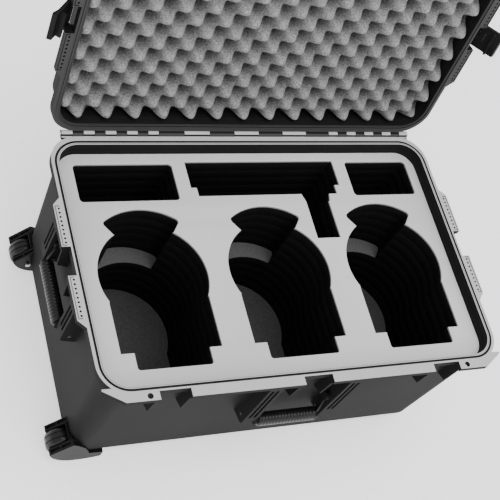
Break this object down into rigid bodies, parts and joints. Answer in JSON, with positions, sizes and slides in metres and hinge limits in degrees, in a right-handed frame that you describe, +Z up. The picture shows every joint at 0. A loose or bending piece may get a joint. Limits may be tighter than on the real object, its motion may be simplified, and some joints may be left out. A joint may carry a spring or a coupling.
{
  "type": "wheeled transport case",
  "caption": "Wheeled hard transport case with hinged lid, press-and-pull latches, folding handles and a cut-foam insert for drones.",
  "frame": {"origin": "on the ground under the middle of the base's interior, on the middle rail", "axes": "+Z up, +X along the length away from the wheels, +Y towards the hinge, the latches and front handle face -Y"},
  "size_m": [0.8612, 0.6556, 0.873],
  "materials": {
    "shell_plastic": "matte",
    "fittings_plastic": "satin",
    "black_foam": "matte",
    "grey_foam_sheet": "matte",
    "lid_foam": "matte",
    "gasket_rubber": "matte",
    "steel": "satin",
    "tyre": "satin",
    "grip_rubber": "satin",
    "tube_aluminium": "satin",
    "plate_aluminium": "satin"
  },
  "bodies": {
    "root": {"base_shell": "shell_plastic", "rim_gasket": "gasket_rubber", "hinge_pin": "steel", "foam_floor_pad": "black_foam", "foam_lower_layers": "black_foam", "foam_upper_layers": "black_foam", "foam_top_sheet": "grey_foam_sheet", "wheel_housing_screws": "steel", "pressure_valve_body": "fittings_plastic", "pressure_valve_seal": "gasket_rubber", "pull_outer_tubes": "tube_aluminium", "pull_tube_clamps": "fittings_plastic", "pull_clamp_screws": "steel", "wheel_housing_front": "fittings_plastic", "wheel_axle_front": "steel", "wheel_housing_rear": "fittings_plastic", "wheel_axle_rear": "steel", "front_handle_stop_pins": "steel", "left_handle_stop_pins": "steel", "right_handle_stop_pins": "steel"},
    "lid": {"lid_shell": "shell_plastic", "lid_foam": "lid_foam", "lid_name_plate": "plate_aluminium", "lid_latch_pins": "steel"},
    "wheel_front": {"wheel_hub_front": "fittings_plastic", "wheel_tyre_front": "tyre"},
    "wheel_rear": {"wheel_hub_rear": "fittings_plastic", "wheel_tyre_rear": "tyre"},
    "pull_handle": {"pull_inner_tubes": "tube_aluminium", "pull_grip": "fittings_plastic"},
    "pull_button": {"pull_release_button": "fittings_plastic"},
    "front_handle": {"front_handle_bail": "fittings_plastic", "front_handle_grip": "grip_rubber"},
    "left_handle": {"left_handle_bail": "fittings_plastic", "left_handle_grip": "grip_rubber"},
    "right_handle": {"right_handle_bail": "fittings_plastic", "right_handle_grip": "grip_rubber"},
    "latch_front_left": {"latch_lever_front_left": "fittings_plastic"},
    "latch_front_left_button": {"latch_button_front_left": "fittings_plastic"},
    "latch_front_middle": {"latch_lever_front_middle": "fittings_plastic"},
    "latch_front_middle_button": {"latch_button_front_middle": "fittings_plastic"},
    "latch_front_right": {"latch_lever_front_right": "fittings_plastic"},
    "latch_front_right_button": {"latch_button_front_right": "fittings_plastic"},
    "latch_left_end": {"latch_lever_left_end": "fittings_plastic"},
    "latch_left_end_button": {"latch_button_left_end": "fittings_plastic"},
    "latch_right_end": {"latch_lever_right_end": "fittings_plastic"},
    "latch_right_end_button": {"latch_button_right_end": "fittings_plastic"}
  },
  "joints": [
    {"name": "lid_hinge", "type": "hinge", "parent": "root", "child": "lid", "pos_m": [0, 0.2524, 0.334], "axis": [1, 0, 0], "range_deg": [0, 98.9]},
    {"name": "wheel_front_spin", "type": "hinge", "parent": "root", "child": "wheel_front", "pos_m": [-0.36247, -0.192, 0.031], "axis": [0, 1, 0], "continuous": true},
    {"name": "wheel_rear_spin", "type": "hinge", "parent": "root", "child": "wheel_rear", "pos_m": [-0.36247, 0.192, 0.031], "axis": [0, 1, 0], "continuous": true},
    {"name": "front_handle_swing", "type": "hinge", "parent": "root", "child": "front_handle", "pos_m": [0, -0.241, 0.2383], "axis": [-1, 0, 0], "range_deg": [0, 95]},
    {"name": "left_handle_swing", "type": "hinge", "parent": "root", "child": "left_handle", "pos_m": [-0.381, 0, 0.2813], "axis": [0, 1, 0], "range_deg": [0, 95]},
    {"name": "right_handle_swing", "type": "hinge", "parent": "root", "child": "right_handle", "pos_m": [0.381, 0, 0.2813], "axis": [0, -1, 0], "range_deg": [0, 95]},
    {"name": "pull_handle_slide", "type": "slide", "parent": "root", "child": "pull_handle", "axis": [1, 0, 0], "range_m": [0, 0.35]},
    {"name": "pull_button_press", "type": "slide", "parent": "pull_handle", "child": "pull_button", "axis": [-1, 0, 0], "range_m": [0, 0.003], "stiffness_N_per_m": 300},
    {"name": "latch_front_left_swing", "type": "hinge", "parent": "lid", "child": "latch_front_left", "pos_m": [-0.2595, 0.35272, 0.82677], "axis": [1, 0, 0], "range_deg": [0, 40]},
    {"name": "latch_front_left_button_press", "type": "slide", "parent": "latch_front_left", "child": "latch_front_left_button", "axis": [0, -0.7547, -0.6561], "range_m": [0, 0.003], "stiffness_N_per_m": 400},
    {"name": "latch_front_middle_swing", "type": "hinge", "parent": "lid", "child": "latch_front_middle", "pos_m": [0, 0.35272, 0.82677], "axis": [1, 0, 0], "range_deg": [0, 40]},
    {"name": "latch_front_middle_button_press", "type": "slide", "parent": "latch_front_middle", "child": "latch_front_middle_button", "axis": [0, -0.7547, -0.6561], "range_m": [0, 0.003], "stiffness_N_per_m": 400},
    {"name": "latch_front_right_swing", "type": "hinge", "parent": "lid", "child": "latch_front_right", "pos_m": [0.2595, 0.35272, 0.82677], "axis": [1, 0, 0], "range_deg": [0, 40]},
    {"name": "latch_front_right_button_press", "type": "slide", "parent": "latch_front_right", "child": "latch_front_right_button", "axis": [0, -0.7547, -0.6561], "range_m": [0, 0.003], "stiffness_N_per_m": 400},
    {"name": "latch_left_end_swing", "type": "hinge", "parent": "lid", "child": "latch_left_end", "pos_m": [-0.39, 0.31361, 0.57985], "axis": [0, 0.1564, 0.9877], "range_deg": [0, 40]},
    {"name": "latch_left_end_button_press", "type": "slide", "parent": "latch_left_end", "child": "latch_left_end_button", "axis": [0.766, -0.6349, 0.1006], "range_m": [0, 0.003], "stiffness_N_per_m": 400},
    {"name": "latch_right_end_swing", "type": "hinge", "parent": "lid", "child": "latch_right_end", "pos_m": [0.39, 0.31361, 0.57985], "axis": [0, -0.1564, -0.9877], "range_deg": [0, 40]},
    {"name": "latch_right_end_button_press", "type": "slide", "parent": "latch_right_end", "child": "latch_right_end_button", "axis": [-0.766, -0.6349, 0.1006], "range_m": [0, 0.003], "stiffness_N_per_m": 400}
  ]
}
